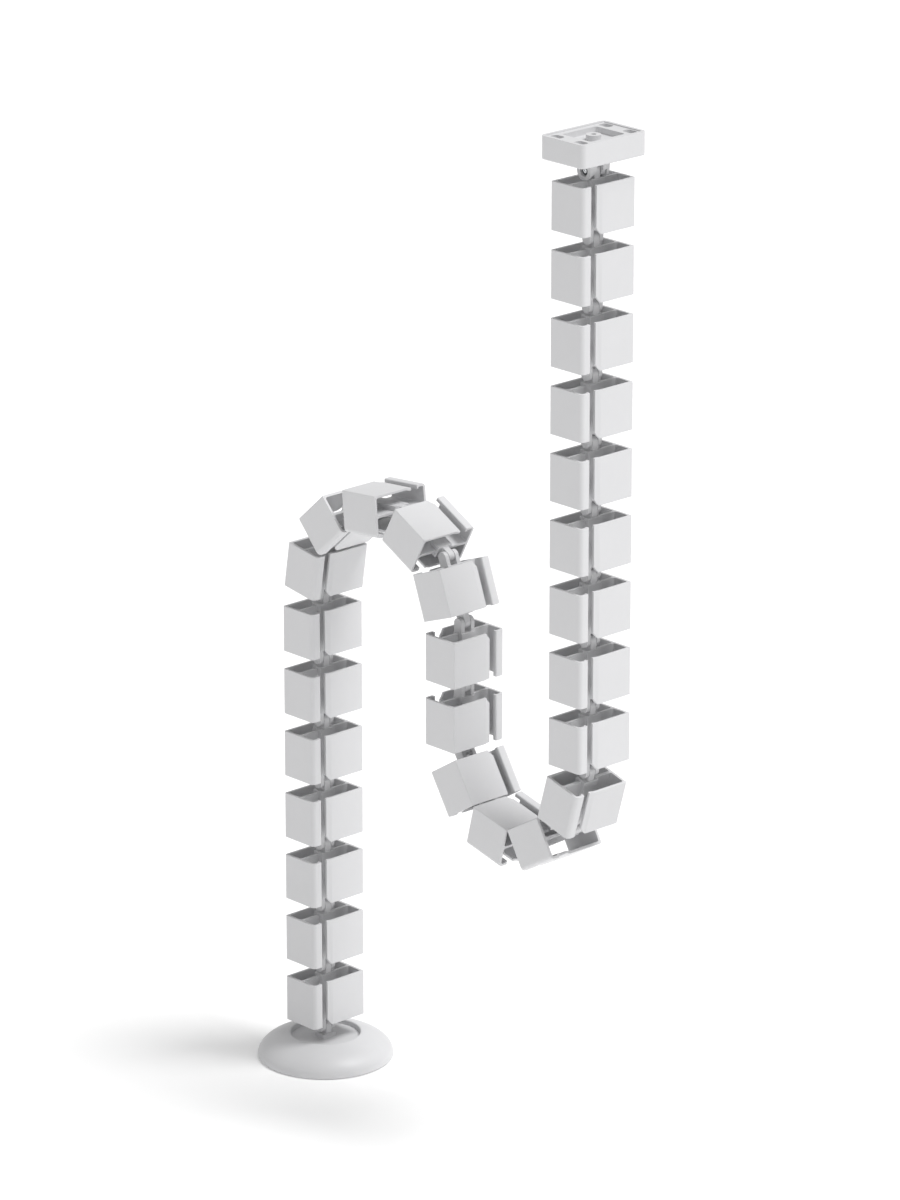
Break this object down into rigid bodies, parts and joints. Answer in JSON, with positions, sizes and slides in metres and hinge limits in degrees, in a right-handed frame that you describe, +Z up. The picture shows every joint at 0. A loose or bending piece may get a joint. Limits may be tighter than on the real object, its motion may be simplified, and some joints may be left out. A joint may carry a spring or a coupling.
{
  "type": "cable spine",
  "caption": "Height-adjustable desk cable spine: box-section vertebra links with cable slits, snap-hinged into a chain between a domed weighted foot and a screw-on desk bracket",
  "frame": {"origin": "centre of the foot's underside, on the floor", "axes": "+Z up, X across the hinge axes in the plane the chain bends in with +X toward the desk bracket, Y along the hinge axes"},
  "size_m": [0.3333, 0.0964, 0.7228],
  "materials": {
    "link_plastic": "satin silver-grey moulded plastic",
    "shell_plastic": "satin silver-grey moulded plastic",
    "bracket_plastic": "satin silver-grey moulded plastic",
    "weight_steel": "plain cut steel, hidden",
    "pad_rubber": "matt dark soft pad",
    "bolt_steel": "zinc-plated",
    "nut_steel": "zinc-plated"
  },
  "bodies": {
    "base": {"base_shell": "shell_plastic", "base_weight": "weight_steel", "base_pad": "pad_rubber"},
    "link_01": {"vertebra_01": "link_plastic"},
    "link_02": {"vertebra_02": "link_plastic"},
    "link_03": {"vertebra_03": "link_plastic"},
    "link_04": {"vertebra_04": "link_plastic"},
    "link_05": {"vertebra_05": "link_plastic"},
    "link_06": {"vertebra_06": "link_plastic"},
    "link_07": {"vertebra_07": "link_plastic"},
    "link_08": {"vertebra_08": "link_plastic"},
    "link_09": {"vertebra_09": "link_plastic"},
    "link_10": {"vertebra_10": "link_plastic"},
    "link_11": {"vertebra_11": "link_plastic"},
    "link_12": {"vertebra_12": "link_plastic"},
    "link_13": {"vertebra_13": "link_plastic"},
    "link_14": {"vertebra_14": "link_plastic"},
    "link_15": {"vertebra_15": "link_plastic"},
    "link_16": {"vertebra_16": "link_plastic"},
    "link_17": {"vertebra_17": "link_plastic"},
    "link_18": {"vertebra_18": "link_plastic"},
    "link_19": {"vertebra_19": "link_plastic"},
    "link_20": {"vertebra_20": "link_plastic"},
    "link_21": {"vertebra_21": "link_plastic"},
    "link_22": {"vertebra_22": "link_plastic"},
    "link_23": {"vertebra_23": "link_plastic"},
    "link_24": {"vertebra_24": "link_plastic"},
    "link_25": {"vertebra_25": "link_plastic"},
    "link_26": {"vertebra_26": "link_plastic"},
    "link_27": {"vertebra_27": "link_plastic"},
    "bracket": {"top_bracket": "bracket_plastic", "hinge_bolt": "bolt_steel", "hinge_nut": "nut_steel"}
  },
  "joints": [
    {"name": "hinge_00", "type": "hinge", "parent": "link_01", "child": "base", "pos_m": [0, 0, 0.0223], "axis": [0, 1, 0], "range_deg": [-35, 35]},
    {"name": "hinge_01", "type": "hinge", "parent": "link_02", "child": "link_01", "pos_m": [0, 0, 0.0683], "axis": [0, -1, 0], "range_deg": [-45, 45]},
    {"name": "hinge_02", "type": "hinge", "parent": "link_03", "child": "link_02", "pos_m": [0, 0, 0.1143], "axis": [0, 1, 0], "range_deg": [-45, 45]},
    {"name": "hinge_03", "type": "hinge", "parent": "link_04", "child": "link_03", "pos_m": [0, 0, 0.1603], "axis": [0, -1, 0], "range_deg": [-45, 45]},
    {"name": "hinge_04", "type": "hinge", "parent": "link_05", "child": "link_04", "pos_m": [0, 0, 0.2063], "axis": [0, 1, 0], "range_deg": [-45, 45]},
    {"name": "hinge_05", "type": "hinge", "parent": "link_06", "child": "link_05", "pos_m": [0, 0, 0.2523], "axis": [0, -1, 0], "range_deg": [-45, 45]},
    {"name": "hinge_06", "type": "hinge", "parent": "link_07", "child": "link_06", "pos_m": [0, 0, 0.2983], "axis": [0, 1, 0], "range_deg": [-45, 45]},
    {"name": "hinge_07", "type": "hinge", "parent": "link_08", "child": "link_07", "pos_m": [0, 0, 0.3443], "axis": [0, -1, 0], "range_deg": [-54, 36]},
    {"name": "hinge_08", "type": "hinge", "parent": "link_09", "child": "link_08", "pos_m": [0.0072, 0, 0.38973], "axis": [0, 1, 0], "range_deg": [-6, 84]},
    {"name": "hinge_09", "type": "hinge", "parent": "link_10", "child": "link_09", "pos_m": [0.04138, 0, 0.42051], "axis": [0, -1, 0], "range_deg": [-82, 8]},
    {"name": "hinge_10", "type": "hinge", "parent": "link_11", "child": "link_10", "pos_m": [0.08721, 0, 0.42452], "axis": [0, 1, 0], "range_deg": [-12, 78]},
    {"name": "hinge_11", "type": "hinge", "parent": "link_12", "child": "link_11", "pos_m": [0.12782, 0, 0.40293], "axis": [0, -1, 0], "range_deg": [-87, 3]},
    {"name": "hinge_12", "type": "hinge", "parent": "link_13", "child": "link_12", "pos_m": [0.14355, 0, 0.3597], "axis": [0, 1, 0], "range_deg": [-25, 65]},
    {"name": "hinge_13", "type": "hinge", "parent": "link_14", "child": "link_13", "pos_m": [0.14355, 0, 0.3137], "axis": [0, -1, 0], "range_deg": [-45, 45]},
    {"name": "hinge_14", "type": "hinge", "parent": "link_15", "child": "link_14", "pos_m": [0.14355, 0, 0.2677], "axis": [0, 1, 0], "range_deg": [-77, 13]},
    {"name": "hinge_15", "type": "hinge", "parent": "link_16", "child": "link_15", "pos_m": [0.16793, 0, 0.22869], "axis": [0, -1, 0], "range_deg": [-1, 89]},
    {"name": "hinge_16", "type": "hinge", "parent": "link_17", "child": "link_16", "pos_m": [0.21256, 0, 0.21756], "axis": [0, 1, 0], "range_deg": [-89, 1]},
    {"name": "hinge_17", "type": "hinge", "parent": "link_18", "child": "link_17", "pos_m": [0.2524, 0, 0.24056], "axis": [0, -1, 0], "range_deg": [-1, 89]},
    {"name": "hinge_18", "type": "hinge", "parent": "link_19", "child": "link_18", "pos_m": [0.26508, 0, 0.28478], "axis": [0, 1, 0], "range_deg": [-61, 29]},
    {"name": "hinge_19", "type": "hinge", "parent": "link_20", "child": "link_19", "pos_m": [0.26508, 0, 0.33078], "axis": [0, -1, 0], "range_deg": [-45, 45]},
    {"name": "hinge_20", "type": "hinge", "parent": "link_21", "child": "link_20", "pos_m": [0.26508, 0, 0.37678], "axis": [0, 1, 0], "range_deg": [-45, 45]},
    {"name": "hinge_21", "type": "hinge", "parent": "link_22", "child": "link_21", "pos_m": [0.26508, 0, 0.42278], "axis": [0, -1, 0], "range_deg": [-45, 45]},
    {"name": "hinge_22", "type": "hinge", "parent": "link_23", "child": "link_22", "pos_m": [0.26508, 0, 0.46878], "axis": [0, 1, 0], "range_deg": [-45, 45]},
    {"name": "hinge_23", "type": "hinge", "parent": "link_24", "child": "link_23", "pos_m": [0.26508, 0, 0.51478], "axis": [0, -1, 0], "range_deg": [-45, 45]},
    {"name": "hinge_24", "type": "hinge", "parent": "link_25", "child": "link_24", "pos_m": [0.26508, 0, 0.56078], "axis": [0, 1, 0], "range_deg": [-45, 45]},
    {"name": "hinge_25", "type": "hinge", "parent": "link_26", "child": "link_25", "pos_m": [0.26508, 0, 0.60678], "axis": [0, -1, 0], "range_deg": [-45, 45]},
    {"name": "hinge_26", "type": "hinge", "parent": "link_27", "child": "link_26", "pos_m": [0.26508, 0, 0.65278], "axis": [0, 1, 0], "range_deg": [-45, 45]},
    {"name": "hinge_27", "type": "hinge", "parent": "bracket", "child": "link_27", "pos_m": [0.26508, 0, 0.69878], "axis": [0, -1, 0], "range_deg": [-45, 45]}
  ]
}
